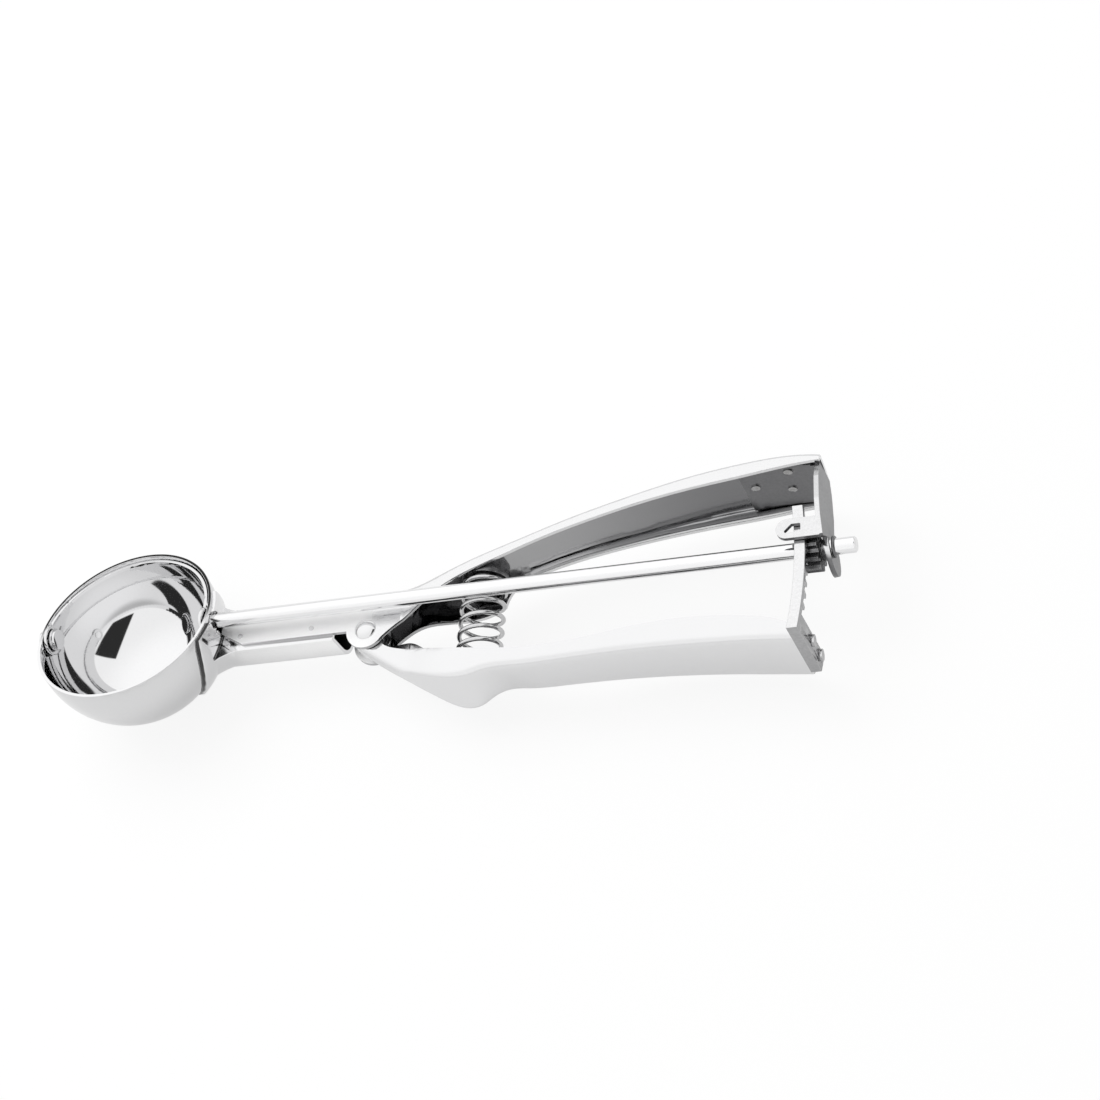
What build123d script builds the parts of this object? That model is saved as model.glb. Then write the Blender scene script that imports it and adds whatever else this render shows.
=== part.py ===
import math
import os

from build123d import *

# Squeeze-handle ice cream scoop. Millimetres. The rod lies along X, the bowl at its -X end.
# The handles open in the XY plane, the main handle on +Y and the lever on -Y. Z is up.
# All pieces are built with the rod's axis on Y = 0, Z = 0 and the bowl's centre at X = 0,
# then moved together so that the origin is the middle of the footprint on the table.

# Fits, and two lengths for cutting, one beyond every side and one just past an end
reach = 60.0
past_end = 10.0
run_gap = 0.05
slide_gap = 0.3
ear_gap = 0.3

# Bowl and blade
bowl_radius = 25.0
bowl_sheet = 0.8
collar_height = 3.0
bowl_roll = 14.0
blade_sheet = 0.8
blade_width = 6.2
blade_tab_radius = 4.0
blade_drop = 1.0
blade_pin_radius = 1.5
blade_pin_head = 2.7
blade_pin_head_height = 0.8
blade_washer_radius = 3.0
blade_washer_height = 0.5

# Rod
rod_radius = 2.0
rod_overhang = 8.8
spigot_radius = 1.3
spigot_head_radius = 2.1
spigot_head_height = 0.9

# Neck and saddle
sheet = 1.1
saddle_half_width = 11.1
saddle_half_height = 16.2
saddle_centre_z = -7.5
saddle_below_rim = 0.7
neck_half_width = 5.9
neck_centre_y = -0.8
neck_round_z = -12.0
neck_short = 9.7
neck_lip = 3.6
neck_flare = 4.0
rod_clear = 0.6

# Pivot and cheeks
pivot_x = 67.5
pivot_y = -5.2
mid_z = -8.4
cheek_half = 4.2
cheek_lobe = 5.3
far_lobe = 6.3
ear_lobe = 4.6
pivot_radius = 2.2
pivot_head_radius = 3.0
pivot_head_height = 1.3
spacer_radius = 3.6

# Main handle: top line, lower edges of the far and near walls, half width. Each point has its place
# along the arm, 0 at the pivot and 1 at the rack, and its height in millimetres
strip_low_y = -5.3
strip_top_y = 4.6
strip_corner_run = 7.0
strip_corner_y = -1.4
web_from_pivot = 9.5
handle_top_line = [(-0.0639, 4.6), (0.0639, 5.2), (0.1661, 7.4), (0.2598, 10.8), (0.3578, 14.4),
                   (0.4514, 17.6), (0.5894, 21.2), (0.7683, 24.8), (0.8731, 26), (0.9583, 26.3),
                   (1.0264, 25.4)]
far_guard_line = [(0.0256, -9.6), (0.0639, -5.4), (0.1107, -2.2), (0.1917, -0.8), (0.2879, 2.8)]
far_step_line = [(0.2879, 2.8), (0.3058, 7.6), (0.345, 10.7)]
handle_low_line = [(0.345, 10.7), (0.4131, 13.3), (0.5443, 16.9), (0.7538, 20.6), (0.8731, 21.9),
                   (0.9668, 23.1), (1.0264, 23.4)]
near_low_line = [(0.0383, -8), (0.0605, -6.1), (0.1278, 0.2), (0.201, 4.7), (0.2768, 7.9), (0.345, 10.7)]
handle_half_line = [(0.0809, 4.2), (0.1405, 5.3), (0.2002, 6.9), (0.2598, 7.6), (0.345, 7.9),
                    (0.4302, 8.3), (0.5494, 9.2), (0.7453, 10.6), (0.8731, 11.1), (1.0605, 11.3)]
handle_bend = 1.6
handle_end_round = 110.0
handle_end_mid_z = 3.0
hem_height = 1.5
hem_lift = 0.12
hem_thick = 0.9
notch_lean = 2.5

# Lever: top edge of its far wall, of its near wall ahead, both edges of its web, half width, with places
# along the arm as above. The web dips to a finger stop at its far edge and runs smooth at its near edge
ear_half = cheek_half - sheet - ear_gap
lever_top_line = [(0.0324, -7.4), (0.0596, -7.7), (0.0894, -7.5), (0.1235, -9.4), (0.1831, -12.6),
                  (0.2598, -15.2), (0.345, -16.7), (0.4429, -17.2), (0.5239, -16.7), (0.592, -15.8),
                  (0.7027, -15), (0.7879, -15.4), (0.8816, -17)]
lever_near_line = [(0.0349, -8.8), (0.0486, -10), (0.0724, -11), (0.1167, -12.1), (0.1951, -14.4),
                   (0.2666, -15.8), (0.3475, -17), (0.4429, -17.2)]
lever_far_web_line = [(-0.0256, -9.6), (0.0383, -16.2), (0.0997, -21.3), (0.1533, -24.5), (0.1968, -26.9),
                      (0.2334, -27.7), (0.2624, -26.1), (0.2836, -23.4), (0.3109, -21.5), (0.362, -21.6),
                      (0.4472, -21.8), (0.6005, -21.6), (0.7453, -22.2), (0.8731, -23.3), (1.0605, -25.6)]
lever_near_web_line = [(-0.0256, -9.2), (0.0383, -13), (0.0997, -16.7), (0.1533, -19.3), (0.1968, -20.9),
                       (0.2334, -21.6), (0.2624, -21.9), (0.2836, -22), (0.3109, -22), (0.362, -22),
                       (0.4472, -21.8), (0.6005, -21.6), (0.7453, -22.2), (0.8731, -23.3), (1.0605, -25.6)]
lever_half_line = [(0.0852, 2.8), (0.1235, 3.8), (0.1746, 5.8), (0.2172, 7), (0.2598, 7.5), (0.345, 7.8),
                   (0.4472, 8), (0.6175, 8.7), (0.8305, 9.8), (1.0605, 10.5)]
lever_shoulder_line = [(0.8816, -17), (0.9327, -18.4), (0.9753, -20.6)]
lever_bend = 2.2
web_half = 11.5
web_steps = 28

# Rack, pinion and end bracket
teeth = 10
pinion_pitch_radius = 4.8
pinion_addendum = 0.8
pinion_dedendum = 0.9
tooth_sink = 0.4
rack_addendum = 0.55
rack_clear = 0.25
tooth_angle = 20.0
backlash = 0.22
arm = 117.4
rack_thick = 2.6
rack_back = 1.9
rack_tooth_count = 8
rack_top_y = 8.0
rack_foot_height = 4.2
rack_foot_far_z = -15.5
rack_rivet_radius = 0.9
rack_rivet_head = 1.5
rack_rivet_head_height = 0.7
rack_rivet_z = [-4.6, -12.2]
pinion_ahead = 2.4
washer_thick = 0.3
washer_radius = 3.2
bracket_sheet = 1.2
handle_behind = 3.1
plate_inset = 1.5
plate_drop = 0.3
plate_lean = 7.0
plate_lobe = 6.2
plate_lobe_z = -2.7
plate_near_side = [(17.5, 4.8), (9.2, 8.0)]
plate_notch = (0.6, 3.6)
plate_far_side = [(6.3, -5.7), (11.6, -7.8), (18.7, -9.3)]
washer_seat = 0.2
guide_ahead = 5.5
guide_half = 2.65
guide_mid_y = 1.0
guide_slot = 1.15
slot_front = 1.1
slot_rear = 3.4
slot_round = 0.4
bracket_length = 21.5
bracket_side_gap = 1.2
bracket_weld_spots = [(18.5, -6.9), (9.0, -2.0), (9.9, -10.1)]
weld_radius = 1.1
weld_proud = 0.25
neck_weld_ahead = 6.5
neck_weld_behind = 5.8
neck_weld_y = [-3.2, 1.9]
neck_weld_radius = 0.7
collar_radius = 2.7
collar_width = 0.8
collar_gap = 0.1
pin_radius = 0.6
pin_inset = 0.2
pin_from_rear = 1.0

# Spring
spring_from_pivot = 30.5
spring_mid_radius = 5.4
spring_wire = 1.2
spring_end_pitch = 1.75
spring_turns = 5.25
seat_upper_y = 7.0
seat_lower_y = -17.6
seat_radius = 6.0
post_radius = 4.3
post_height = 2.4

# Blade sweep, used for the coupling
sweep_deg = 164.0

# Derived
rack_mid_x = pivot_x + arm
handle_end_x = rack_mid_x + handle_behind
plate_hang_x = handle_end_x - plate_inset
rod_end_x = handle_end_x + rod_overhang
pinion_front_x = rack_mid_x - pinion_ahead
guide_front_x = rack_mid_x - guide_ahead
bracket_front_x = handle_end_x - bracket_length
web_front_x = pivot_x + web_from_pivot
neck_end_x = pivot_x - neck_short
spring_x = pivot_x + spring_from_pivot
strip_front_x = bowl_radius - 2 * sheet
strip_corner_x = bowl_radius + strip_corner_run
bracket_weld_points = [(handle_end_x - back, z) for back, z in bracket_weld_spots]
neck_weld_x = [bowl_radius + neck_weld_ahead, neck_end_x - neck_weld_behind]
neck_weld_points = [(x, y) for x in neck_weld_x for y in neck_weld_y]
bowl_inner = bowl_radius - bowl_sheet
blade_outer = bowl_inner - slide_gap
blade_inner = blade_outer - blade_sheet
squeeze = math.radians(sweep_deg) * pinion_pitch_radius / arm
pitch = 2 * math.pi * pinion_pitch_radius / teeth
roll = Rot(bowl_roll * -1, 0, 0)


def along_arm(points):
    return [(pivot_x + share * arm, size) for share, size in points]


def curve(points, **more):
    return Spline(*[(x, y, 0) for x, y in points], **more)


def face_of(*edges):
    return make_face(Curve() + [*edges])


def slab(face, low, high):
    return Pos(0, 0, low) * extrude(face, amount=high - low, dir=(0, 0, 1))


def block(x0, x1, y0, y1, z0, z1):
    return Pos((x0 + x1) / 2, (y0 + y1) / 2, (z0 + z1) / 2) * Box(x1 - x0, y1 - y0, z1 - z0)


def along_x(radius, x0, x1, y=0.0, z=0.0):
    return Pos((x0 + x1) / 2, y, z) * Rot(0, 90, 0) * Cylinder(radius, x1 - x0)


def along_y(radius, y0, y1, x, z):
    return Pos(x, (y0 + y1) / 2, z) * Rot(90, 0, 0) * Cylinder(radius, y1 - y0)


def along_z(radius, z0, z1, x, y):
    return Pos(x, y, (z0 + z1) / 2) * Cylinder(radius, z1 - z0)


def beside(edge, gap, count=14):
    points = []
    for i in range(count + 1):
        spot = edge.position_at(i / count)
        run = edge.tangent_at(i / count)
        points.append((spot.X + run.Y * gap, spot.Y - run.X * gap))
    return points


def plan(halves, front_x, trim, rear_x):
    # Prism with the plan outline of a tapered channel, straight sided ahead of its first point
    first_x, first_half = halves[0]
    flank = [(x, half - trim) for x, half in halves]
    near = Spline(*[(x, mid_z + h, 0) for x, h in flank], tangents=[(1, 0, 0), (1, 0.01, 0)])
    far = Spline(*[(x, mid_z - h, 0) for x, h in flank], tangents=[(1, 0, 0), (1, -0.01, 0)])
    front = first_half - trim
    end = flank[-1][1]
    last_x = halves[-1][0]
    outline = face_of(
        near,
        far,
        Line((first_x, mid_z + front, 0), (front_x, mid_z + front, 0)),
        Line((front_x, mid_z + front, 0), (front_x, mid_z - front, 0)),
        Line((front_x, mid_z - front, 0), (first_x, mid_z - front, 0)),
        Line((last_x, mid_z + end, 0), (last_x, mid_z - end, 0)),
    )
    prism = extrude(outline, amount=reach, both=True)
    return (Rot(90, 0, 0) * prism) & block(front_x, rear_x, -reach, reach, -reach, reach)


def whole(shape):
    return max(shape.solids(), key=lambda s: s.volume)


def long_bends(solid, radius, high):
    # Rounds the two long bends where the web turns into the walls
    ends = solid.edges().filter_by(lambda e: e.length > reach)
    ends = ends.sort_by(lambda e: e.center().Y)
    picked = ends[-2:] if high else ends[:2]
    return fillet(picked, radius)


handle_top = along_arm(handle_top_line)
far_guard = along_arm(far_guard_line)
far_step = along_arm(far_step_line)
handle_low = along_arm(handle_low_line)
near_low = along_arm(near_low_line)
handle_half = along_arm(handle_half_line)
lever_top = along_arm(lever_top_line)
lever_near = along_arm(lever_near_line)
far_web = along_arm(lever_far_web_line)
near_web = along_arm(lever_near_web_line)
lever_half = along_arm(lever_half_line)
lever_shoulder = along_arm(lever_shoulder_line)


# Bowl: revolved in its own upright frame, then rolled about the rod
def cup(radius):
    # Half ball with a straight collar, filled
    rim = (radius, collar_height)
    outline = Curve() + [
        CenterArc((0, 0), radius, -90, 90),
        Line((radius, 0), rim),
        Line(rim, (0, collar_height)),
        Line((0, collar_height), (0, -radius)),
    ]
    return revolve(Plane.XZ * make_face(outline), Axis.Z)


bowl = roll * (cup(bowl_radius) - cup(bowl_inner))
bowl = bowl - along_x(rod_radius + run_gap, 0, reach)
bowl = bowl - along_x(blade_pin_radius, -reach, 0)

# Saddle and neck in one sheet
left = neck_centre_y - neck_half_width
right = neck_centre_y + neck_half_width
lip_z = mid_z + cheek_half - sheet
saddle_radius = bowl_radius + sheet


def trough(inset, low, high_z):
    side = neck_half_width - inset
    low_y = neck_centre_y - side
    high_y = neck_centre_y + side
    round_part = along_x(side, low, neck_end_x, neck_centre_y, neck_round_z)
    return round_part + block(low, neck_end_x, low_y, high_y, neck_round_z, high_z)


cap_outline = Plane.YZ * Pos(0, saddle_centre_z) * Ellipse(saddle_half_width, saddle_half_height)
cap_prism = roll * extrude(cap_outline, amount=reach)
rim_plane_cut = roll * block(-reach, reach, -reach, reach, collar_height - saddle_below_rim, reach)
cap = (Sphere(saddle_radius) & cap_prism) - rim_plane_cut


def throat_x(z):
    # Line along which the trough leaves the saddle
    low_z = neck_round_z - neck_half_width
    top_x = math.sqrt(saddle_radius ** 2 - lip_z ** 2)
    low_x = math.sqrt(saddle_radius ** 2 - low_z ** 2)
    return low_x + (z - low_z) * (top_x - low_x) / (lip_z - low_z)


def throat(extra, along):
    # Outline of the trough, widened by extra, on the slanted line moved along X
    side = neck_half_width + extra
    under = []
    for k in range(9):
        angle = math.pi * k / 8
        z = neck_round_z - side * math.sin(angle)
        under.append((throat_x(z) + along, neck_centre_y - side * math.cos(angle), z))
    top_x = throat_x(lip_z) + along
    lip_low = (top_x, neck_centre_y - side, lip_z)
    lip_high = (top_x, neck_centre_y + side, lip_z)
    edges = [Spline(*under), Line(under[-1], lip_high), Line(lip_high, lip_low), Line(lip_low, under[0])]
    return Face(Wire(Curve() + edges))


flare_steps = [(1.0, -1.0), (0.45, -0.2), (0.12, 0.6), (-0.08, 1.4)]
flare = loft([throat(wide * neck_flare, run * neck_flare) for wide, run in flare_steps])
neck_solid = cap + trough(0, 0, lip_z) + flare
neck = neck_solid - trough(sheet, 0, lip_z - sheet)
mouth_low = left + sheet + neck_lip
mouth_high = right - sheet - neck_lip
neck = neck - block(0, reach + neck_end_x, mouth_low, mouth_high, neck_round_z, reach)
neck = neck - Sphere(bowl_radius)
neck = neck - along_x(rod_radius + rod_clear, 0, reach)
neck = whole(neck - (roll * along_z(bowl_radius, 0, reach, 0, 0)))

# Main handle
top_edge = curve(handle_top)
guard_edge = curve(far_guard)
step_edge = curve(far_step)
low_edge = curve(handle_low)
near_edge = curve(near_low)
first_top = handle_top[0]
body = face_of(
    top_edge,
    Line((*handle_top[-1], 0), (*handle_low[-1], 0)),
    low_edge,
    step_edge,
    guard_edge,
    Line((*far_guard[0], 0), (pivot_x, pivot_y - cheek_lobe, 0)),
    Line((pivot_x, pivot_y - cheek_lobe, 0), (pivot_x, strip_low_y, 0)),
    Line((pivot_x, strip_low_y, 0), (first_top[0], strip_low_y, 0)),
    Line((first_top[0], strip_low_y, 0), (*first_top, 0)),
)
side_low = mid_z - reach
side_high = mid_z + reach
strip = block(strip_front_x, first_top[0], strip_low_y, strip_top_y, side_low, side_high)
space_front_x = strip_front_x - past_end
corner = Polygon(
    (space_front_x, strip_corner_y), (bowl_radius, strip_corner_y), (strip_corner_x, strip_low_y),
    (space_front_x, strip_low_y), align=None)
strip = strip - slab(corner, side_low, side_high)
lobe = along_z(cheek_lobe, mid_z, side_high, pivot_x, pivot_y)
lobe = lobe + along_z(far_lobe, side_low, mid_z, pivot_x, pivot_y)
handle_plan = plan(handle_half, strip_front_x, 0, handle_end_x)
handle_outer = (slab(body, side_low, side_high) + lobe + strip) & handle_plan
handle_outer = long_bends(handle_outer, handle_bend, True)
web_inner = Spline(*[(x, y, 0) for x, y in beside(top_edge, sheet)])
inner_start = web_inner.position_at(0)
inner_end = web_inner.position_at(1)
open_face = face_of(
    web_inner,
    Line(inner_end, (handle_end_x + reach, inner_end.Y, 0)),
    Line((handle_end_x + reach, inner_end.Y, 0), (handle_end_x + reach, -reach, 0)),
    Line((handle_end_x + reach, -reach, 0), (inner_start.X, -reach, 0)),
    Line((inner_start.X, -reach, 0), inner_start),
)
handle_space = slab(open_face, side_low, side_high) + block(
    space_front_x, web_front_x, -reach, reach, side_low, side_high)
handle_space = handle_space & plan(handle_half, space_front_x, sheet, handle_half[-1][0])
notch = face_of(
    near_edge,
    Line((*near_low[-1], 0), (near_low[-1][0], -reach, 0)),
    Line((near_low[-1][0], -reach, 0), (near_low[0][0] + notch_lean, -reach, 0)),
    Line((near_low[0][0] + notch_lean, -reach, 0), (*near_low[0], 0)),
)
hem_low = [(x, y, 0) for x, y in beside(low_edge, -hem_lift, 20)]
hem_top = [(x, y, 0) for x, y in beside(low_edge, -hem_height, 20)]
hem_ends = [Line(hem_low[-1], hem_top[-1]), Line(hem_top[0], hem_low[0])]
hem_face = face_of(Spline(*hem_low), Spline(*hem_top), *hem_ends)
hem = slab(hem_face, side_low, mid_z) & plan(handle_half, strip_front_x, sheet / 2, handle_end_x)
hem = hem - plan(handle_half, space_front_x, sheet + hem_thick, handle_half[-1][0])
end_round_x = handle_end_x - handle_end_round
tail_trim = block(handle_end_x - past_end, handle_end_x + reach, -reach, reach, side_low, side_high)
tail_trim = tail_trim - along_y(handle_end_round, -reach, reach, end_round_x, handle_end_mid_z)
main_handle = handle_outer - handle_space + hem - tail_trim
main_handle = main_handle - slab(notch, mid_z, side_high)
far_front = block(0, pivot_x, -reach, reach, side_low, mid_z) - lobe
main_handle = main_handle - far_front
main_handle = main_handle - along_z(pivot_radius, side_low, side_high, pivot_x, pivot_y)
main_handle = whole(main_handle - Sphere(saddle_radius))
near_face = mid_z + cheek_half
far_face = mid_z - cheek_half

# Spot welds through the strip into the neck's lips
weld_low = near_face - sheet
weld_high = near_face + weld_proud
neck_weld_list = [along_z(neck_weld_radius, weld_low, weld_high, x, y) for x, y in neck_weld_points]
for weld in neck_weld_list:
    main_handle = main_handle - weld
neck_welds = Compound(children=neck_weld_list)


# Lever
def web_edge(points, z):
    # Curve that runs evenly in X, so that the web's two edges keep step
    first_x = points[0][0]
    span = points[-1][0] - first_x
    steps = [(x - first_x) / span for x, y in points]
    return Edge.make_spline([(x, y, z) for x, y in points], parameters=steps)


def above_web(far, near):
    # Everything above the surface that runs straight across from the web's far edge to its near one
    surface = Face.make_surface_from_curves(web_edge(far, mid_z - web_half), web_edge(near, mid_z + web_half))
    return Solid.extrude(surface, (0, 2 * reach, 0))


lever_top_edge = curve(lever_top)
shoulder_edge = curve(lever_shoulder)
near_top_edge = curve(lever_near)
lever_front_x = far_web[0][0]
lever_rear_x = far_web[-1][0]
tail = lever_shoulder[-1]
lever_face = face_of(
    lever_top_edge,
    shoulder_edge,
    Line((*tail, 0), (lever_rear_x, tail[1], 0)),
    Line((lever_rear_x, tail[1], 0), (lever_rear_x, -reach, 0)),
    Line((lever_rear_x, -reach, 0), (lever_front_x, -reach, 0)),
    Line((lever_front_x, -reach, 0), (lever_front_x, near_web[0][1], 0)),
    Line((lever_front_x, near_web[0][1], 0), (*lever_top[0], 0)),
)
near_cut = face_of(
    near_top_edge,
    Line((*lever_near[-1], 0), (lever_near[-1][0], reach, 0)),
    Line((lever_near[-1][0], reach, 0), (lever_near[0][0], reach, 0)),
    Line((lever_near[0][0], reach, 0), (*lever_near[0], 0)),
)
ear = along_z(ear_lobe, side_low, side_high, pivot_x, pivot_y)
rack_front = arm - rack_thick / 2
lever_reach = along_z(rack_front, side_low, side_high, pivot_x, pivot_y)
lever_plan = plan(lever_half, pivot_x - past_end, 0, lever_rear_x)
lever_body = slab(lever_face, side_low, side_high) & above_web(far_web, near_web)
lever_outer = (lever_body + ear) & lever_plan
lever_outer = long_bends(lever_outer, lever_bend, False)
lever_outer = (lever_outer - slab(near_cut, mid_z, side_high)) & lever_reach
inner_plan = plan(lever_half, pivot_x - past_end, sheet, lever_rear_x)
inner_far = beside(web_edge(far_web, 0), -sheet, web_steps)
inner_near = beside(web_edge(near_web, 0), -sheet, web_steps)
lever_space = above_web(inner_far, inner_near) & inner_plan
spacer_half = ear_half - sheet
spacer_low = mid_z - spacer_half
spacer_high = mid_z + spacer_half
lever_space = lever_space + along_z(spacer_radius + slide_gap, spacer_low, spacer_high, pivot_x, pivot_y)
lever_space = lever_space & along_z(rack_front - sheet, side_low, side_high, pivot_x, pivot_y)
lever = lever_outer - lever_space
lever = whole(lever - along_z(pivot_radius + run_gap, side_low, side_high, pivot_x, pivot_y))

# Pivot rivet and the tube between the ears
rivet = along_z(pivot_radius, far_face, near_face, pivot_x, pivot_y)
dome_radius = (pivot_head_radius ** 2 + pivot_head_height ** 2) / (2 * pivot_head_height)
dome = Sphere(dome_radius) & block(-reach, reach, -reach, reach, dome_radius - pivot_head_height, reach)
dome_low = dome_radius - pivot_head_height
pivot_rivet = rivet + Pos(pivot_x, pivot_y, near_face - dome_low) * dome
pivot_rivet = pivot_rivet + Pos(pivot_x, pivot_y, far_face + dome_low) * Rot(180, 0, 0) * dome
pivot_spacer = along_z(spacer_radius, spacer_low, spacer_high, pivot_x, pivot_y)
pivot_spacer = pivot_spacer - along_z(pivot_radius + run_gap, side_low, side_high, pivot_x, pivot_y)

# Spring seats
post_top_y = seat_upper_y - post_height
post_low_y = seat_lower_y + post_height
seat_upper = along_y(seat_radius, seat_upper_y, reach, spring_x, mid_z) & handle_space
seat_upper = whole(seat_upper) + along_y(post_radius, post_top_y, seat_upper_y, spring_x, mid_z)
seat_lower = along_y(seat_radius, -reach, seat_lower_y, spring_x, mid_z) & lever_space
seat_lower = whole(seat_lower) + along_y(post_radius, seat_lower_y, post_low_y, spring_x, mid_z)


# Spring: one round wire on pairs of arcs, a quarter turn to a pair
def unit(v):
    return v * (1 / v.length)


def arc_pair(p0, t0, p1, t1):
    span = p1 - p0
    both = t0 + t1
    lean = 2 * (1 - t0.dot(t1))
    mix = span.dot(both)
    size = (-mix + math.sqrt(mix * mix + lean * span.dot(span))) / lean
    knee0 = p0 + t0 * size
    knee1 = p1 - t1 * size
    meet = (knee0 + knee1) * 0.5
    way = unit(knee1 - knee0)
    return [Edge.make_tangent_arc(p0, t0, meet), Edge.make_tangent_arc(meet, way, p1)]


spring_span = seat_upper_y - seat_lower_y - spring_wire
open_pitch = (spring_span - 2 * spring_end_pitch) / spring_turns
quarters = round(4 * (spring_turns + 2))


def rise(quarter):
    turn = quarter / 4
    first = min(turn, 1) * spring_end_pitch
    middle = min(max(turn - 1, 0), spring_turns) * open_pitch
    last = max(turn - 1 - spring_turns, 0) * spring_end_pitch
    return first + middle + last


def coil_point(quarter):
    angle = quarter * math.pi / 2
    y = seat_lower_y + spring_wire / 2 + rise(quarter)
    return Vector(
        spring_x + spring_mid_radius * math.cos(angle), y, mid_z - spring_mid_radius * math.sin(angle))


def coil_run(quarter):
    angle = quarter * math.pi / 2
    before = max(quarter - 1 / 2, 0)
    after = min(quarter + 1 / 2, quarters)
    climb = (rise(after) - rise(before)) / (after - before)
    around = spring_mid_radius * math.pi / 2
    return unit(Vector(-around * math.sin(angle), climb, -around * math.cos(angle)))


coil = []
for q in range(quarters):
    coil += arc_pair(coil_point(q), coil_run(q), coil_point(q + 1), coil_run(q + 1))
coil_wire = Wire(coil)
ring = Plane(origin=coil_point(0), z_dir=coil_run(0)) * Circle(spring_wire / 2)
spring = sweep(ring, path=coil_wire)
samples = []
for edge in coil:
    samples += [edge.position_at(k / 6) for k in range(6)]
apart = []
skip = round(len(samples) / quarters * 2)
for i, a in enumerate(samples):
    for b in samples[i + skip:]:
        apart.append((a - b).length)
print("spring least gap to itself", round(min(apart) - spring_wire, 3))

# Blade, in the bowl's upright frame with its band on +Y, then dropped below the rim
band = block(-reach, reach, 0, reach, -blade_width / 2, blade_width / 2)
tabs = along_x(blade_tab_radius, -reach, -blade_outer / 2)
tabs = tabs + along_x(blade_tab_radius, blade_outer / 2, reach)
blade = (Sphere(blade_outer) - Sphere(blade_inner)) & (band + tabs)
blade = blade - along_x(blade_pin_radius + run_gap, -reach, 0) - along_x(spigot_radius, 0, reach)
blade_rest = math.degrees(math.asin((collar_height - blade_drop - blade_width / 2) / blade_outer))
blade = whole(roll * Rot(blade_rest, 0, 0) * blade)

# Pin at the front of the bowl, with its washer under the inner head
wall_x = -math.sqrt(blade_inner ** 2 - blade_washer_radius ** 2)
washer_x = wall_x + slide_gap
blade_washer = along_x(blade_washer_radius, washer_x, washer_x + blade_washer_height)
blade_washer = blade_washer - along_x(blade_pin_radius, -reach, 0)
head_x = washer_x + blade_washer_height
blade_pin = along_x(blade_pin_radius, -bowl_radius, head_x)
blade_pin = blade_pin + along_x(blade_pin_head, head_x, head_x + blade_pin_head_height)
button = along_x(blade_pin_head, -bowl_radius - blade_pin_head_height, -bowl_radius / 2)
button = button - roll * cup(bowl_radius)
blade_pin = blade_pin + min(button.solids(), key=lambda s: s.center().X)

# Rod
rod = along_x(rod_radius, blade_outer / 2, rod_end_x) - Sphere(blade_outer)
rod_tail = rod.edges().filter_by(GeomType.CIRCLE).sort_by(Axis.X)[-1]
rod = chamfer(rod_tail, rod_radius / 5)
rod = rod + along_x(spigot_radius, blade_inner - 1, blade_outer + 1)
spigot_head = along_x(spigot_head_radius, blade_inner - spigot_head_height, blade_inner)
rod = rod + (spigot_head & Sphere(blade_inner))
rod = whole(rod)

# Pinion
tip = pinion_pitch_radius + pinion_addendum
foot = pinion_pitch_radius - pinion_dedendum
plate_hang_y = inner_end.Y - plate_drop
lean_run = math.tan(math.radians(plate_lean))
plate_rod_x = plate_hang_x + plate_hang_y * lean_run
seat_face_x = plate_rod_x - washer_radius * lean_run - washer_seat
pinion_rear_x = seat_face_x - slide_gap - washer_thick
half_tooth = pitch / 4 - backlash / 2
flank_out = half_tooth - pinion_addendum * math.tan(math.radians(tooth_angle))
flank_in = half_tooth + pinion_dedendum * math.tan(math.radians(tooth_angle)) / 2
tooth_face = Polygon(
    (foot - tooth_sink, -flank_in), (foot, -flank_in), (pinion_pitch_radius, -half_tooth), (tip, -flank_out),
    (tip, flank_out), (pinion_pitch_radius, half_tooth), (foot, flank_in), (foot - tooth_sink, flank_in),
    align=None)
pinion_face = Circle(foot)
for i in range(teeth):
    pinion_face = pinion_face + Rot(0, 0, (i + 0.5) * 360 / teeth) * tooth_face
pinion_length = pinion_rear_x - pinion_front_x
gear = extrude(pinion_face, amount=pinion_length)
gear = Pos(pinion_front_x, 0, 0) * Rot(0, 90, 0) * Rot(0, 0, 180) * gear
pin_x = pinion_rear_x - pin_from_rear
pinion_pin = along_y(pin_radius, -foot + pin_inset, foot - pin_inset, pin_x, 0)
pinion = gear - along_x(rod_radius, 0, rod_end_x) - pinion_pin
rod = whole(rod - pinion_pin)
thrust_washer = along_x(washer_radius, pinion_rear_x, pinion_rear_x + washer_thick)
thrust_washer = thrust_washer - along_x(rod_radius, 0, rod_end_x)
plate_slant = bracket_sheet / math.cos(math.radians(plate_lean))
collar_x = plate_rod_x + plate_slant + collar_radius * lean_run + collar_gap
rod_collar = along_x(collar_radius, collar_x, collar_x + collar_width)
collar_rim = rod_collar.edges().filter_by(GeomType.CIRCLE).sort_by(Axis.X)[-1]
rod_collar = chamfer(collar_rim, collar_width / 3) - along_x(rod_radius, 0, rod_end_x)

# Rack: a bar curved about the pivot, with each tooth lying along X as it passes the rod
rack_line = pinion_pitch_radius
rack_tip_z = rack_line - rack_addendum
rack_root_z = rack_line + pinion_addendum + rack_clear
rack_back_z = rack_root_z + rack_back
ring_out = along_z(arm + rack_thick / 2, side_low, side_high, pivot_x, pivot_y)
ring_in = along_z(arm - rack_thick / 2, side_low - 1, side_high + 1, pivot_x, pivot_y)
rack_ring = ring_out - ring_in
foot_top_y = tail[1]
foot_low_y = foot_top_y - rack_foot_height
bar = block(pivot_x, rod_end_x, foot_low_y, rack_top_y, rack_root_z, rack_back_z)
foot_plate = block(pivot_x, rod_end_x, foot_low_y, foot_top_y, rack_foot_far_z, rack_back_z)
rack = rack_ring & (bar + foot_plate)
gap_half = pitch / 4 - backlash / 2
slope = math.tan(math.radians(tooth_angle))
bite_in = gap_half - rack_addendum * slope
bite_out = gap_half + (rack_root_z - rack_line) * slope
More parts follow.
